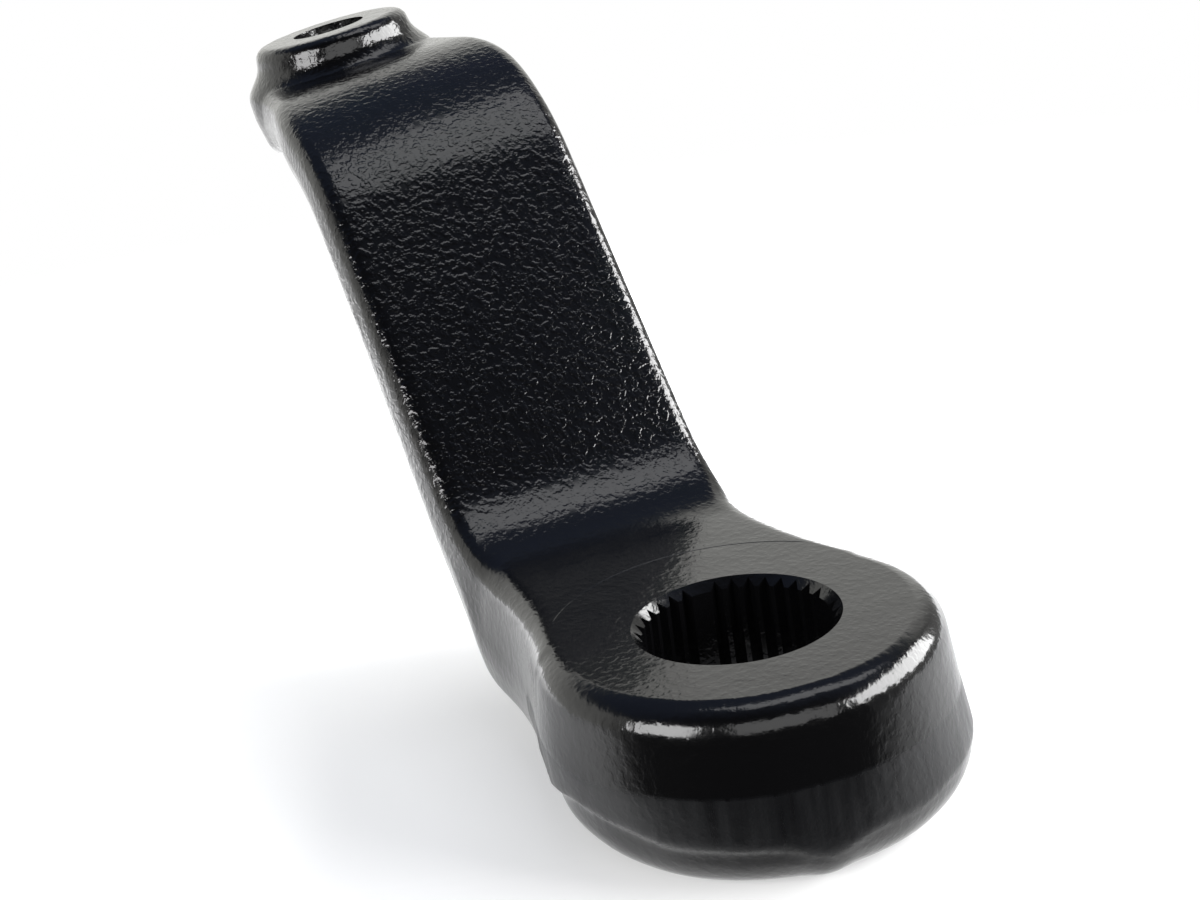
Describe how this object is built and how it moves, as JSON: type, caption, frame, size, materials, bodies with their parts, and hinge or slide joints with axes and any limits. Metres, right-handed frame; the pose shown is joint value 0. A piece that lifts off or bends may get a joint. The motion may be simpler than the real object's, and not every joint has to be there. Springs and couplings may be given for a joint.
{
  "type": "pitman arm",
  "caption": "Dropped steering arm: a forged S-bent strap with a serrated, tapered sector-shaft bore at one end and a tapered ball-stud hole in a raised collar at the other.",
  "frame": {"origin": "on the sector bore's axis, in the plane of the machined nut face", "axes": "+Z along the sector bore's axis, out of the nut face; +X along the strap towards the stud hole"},
  "size_m": [0.2099, 0.063, 0.1096],
  "materials": {
    "paint": "gloss black enamel over forged steel"
  },
  "bodies": {
    "root": {"pitman_arm": "paint"}
  },
  "joints": []
}
